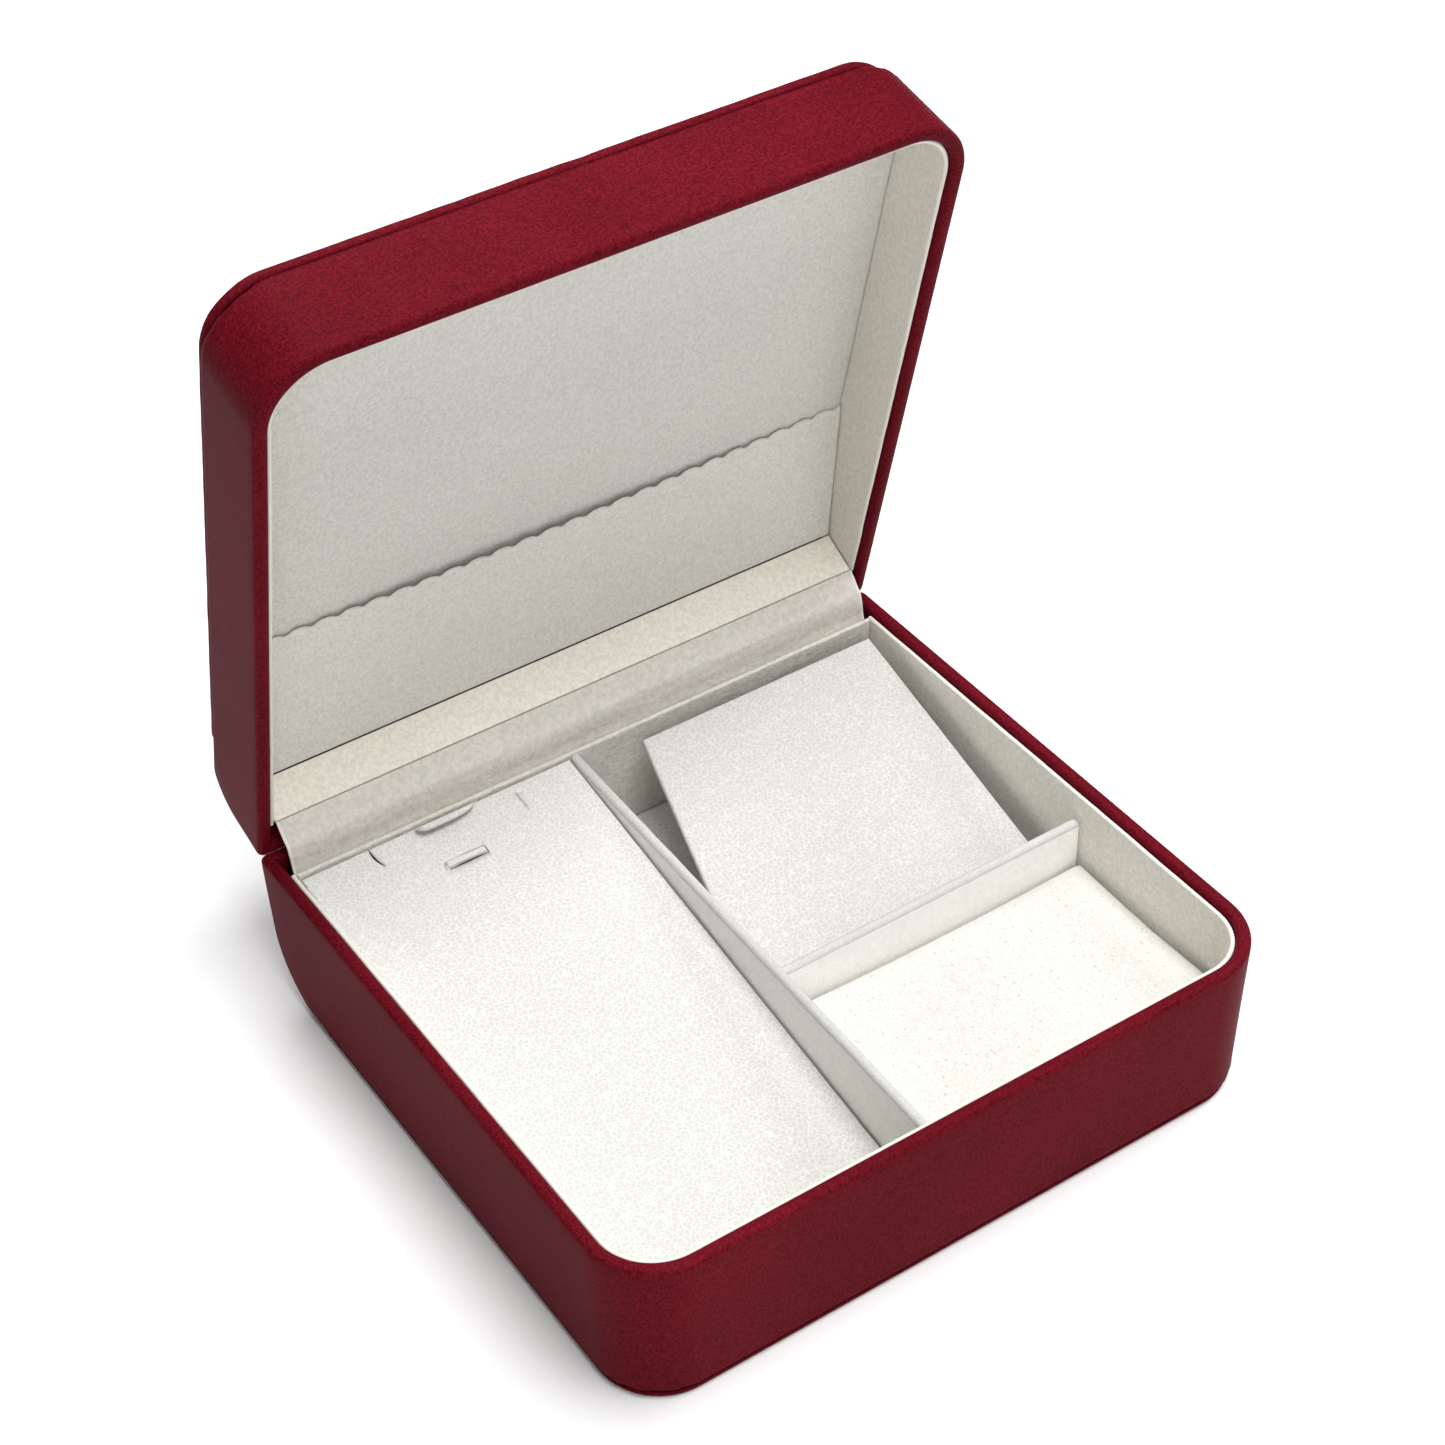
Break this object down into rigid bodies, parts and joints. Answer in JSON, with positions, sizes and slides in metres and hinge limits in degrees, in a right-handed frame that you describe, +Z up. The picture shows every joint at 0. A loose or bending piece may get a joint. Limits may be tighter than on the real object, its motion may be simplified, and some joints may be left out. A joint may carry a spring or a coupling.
{
  "type": "jewellery presentation box",
  "caption": "Hinged presentation box for a set of jewellery: covered base and lid, lined compartments, sloping necklace pad, tilting ramp pad, flat pad and a scalloped lid pocket.",
  "frame": {"origin": "middle of the flat face that the base rests on", "axes": "+X to the right seen from the front, +Y back towards the hinges, +Z up"},
  "size_m": [0.1898, 0.1989, 0.22],
  "materials": {
    "burgundy_leatherette": "fine-grained leatherette with a soft sheen",
    "ivory_lining": "finely mottled pearl ivory lining, matt to satin",
    "moulded_plastic": "moulded, matt",
    "white_foam": "closed-cell foam, matt",
    "hinge_steel": "nickel-plated steel"
  },
  "bodies": {
    "base": {"base_shell": "moulded_plastic", "base_cover": "burgundy_leatherette", "base_bottom_panel": "burgundy_leatherette", "base_floor_foam": "white_foam", "base_floor_board": "ivory_lining", "base_liner_sides": "ivory_lining", "base_liner_back": "ivory_lining", "long_divider": "ivory_lining", "short_divider": "ivory_lining", "necklace_pad_riser": "white_foam", "ramp_rest_strip": "white_foam", "hinge_cover_strip": "ivory_lining", "left_hinge_base_leaf": "hinge_steel", "left_hinge_pin": "hinge_steel", "left_hinge_spring": "hinge_steel", "left_hinge_base_rivet_outer": "hinge_steel", "left_hinge_base_rivet_inner": "hinge_steel", "right_hinge_base_leaf": "hinge_steel", "right_hinge_pin": "hinge_steel", "right_hinge_spring": "hinge_steel", "right_hinge_base_rivet_outer": "hinge_steel", "right_hinge_base_rivet_inner": "hinge_steel"},
    "lid": {"lid_shell": "moulded_plastic", "lid_cover": "burgundy_leatherette", "lid_top_panel": "burgundy_leatherette", "lid_foam": "white_foam", "lid_inner_panel": "ivory_lining", "lid_liner_sides": "ivory_lining", "lid_liner_back": "ivory_lining", "lid_pocket": "ivory_lining", "left_hinge_lid_leaf": "hinge_steel", "left_hinge_lid_rivet_outer": "hinge_steel", "left_hinge_lid_rivet_inner": "hinge_steel", "right_hinge_lid_leaf": "hinge_steel", "right_hinge_lid_rivet_outer": "hinge_steel", "right_hinge_lid_rivet_inner": "hinge_steel"},
    "necklace_pad": {"necklace_pad": "ivory_lining", "chain_strap": "ivory_lining"},
    "pull_tab": {"pull_tab": "ivory_lining"},
    "flat_pad": {"flat_pad": "ivory_lining"},
    "ramp": {"ramp_pad": "ivory_lining", "ramp_leg": "ivory_lining"}
  },
  "joints": [
    {"name": "lid_hinge", "type": "hinge", "parent": "base", "child": "lid", "pos_m": [0, 0.0859, 0.047], "axis": [-1, 0, 0], "range_deg": [-75.7, 0], "deforming": ["hinge_cover_strip"]},
    {"name": "necklace_pad_lift", "type": "slide", "parent": "base", "child": "necklace_pad", "axis": [0, 0, 1], "range_m": [0, 0.06]},
    {"name": "pull_tab_fold", "type": "hinge", "parent": "necklace_pad", "child": "pull_tab", "pos_m": [-0.04825, 0.07376, 0.04528], "axis": [-1, 0, 0], "range_deg": [0, 70]},
    {"name": "flat_pad_lift", "type": "slide", "parent": "base", "child": "flat_pad", "axis": [0, 0, 1], "range_m": [0, 0.04]},
    {"name": "ramp_tilt", "type": "hinge", "parent": "base", "child": "ramp", "pos_m": [0, -0.01127, 0.01917], "axis": [1, 0, 0], "range_deg": [0, 60]}
  ]
}
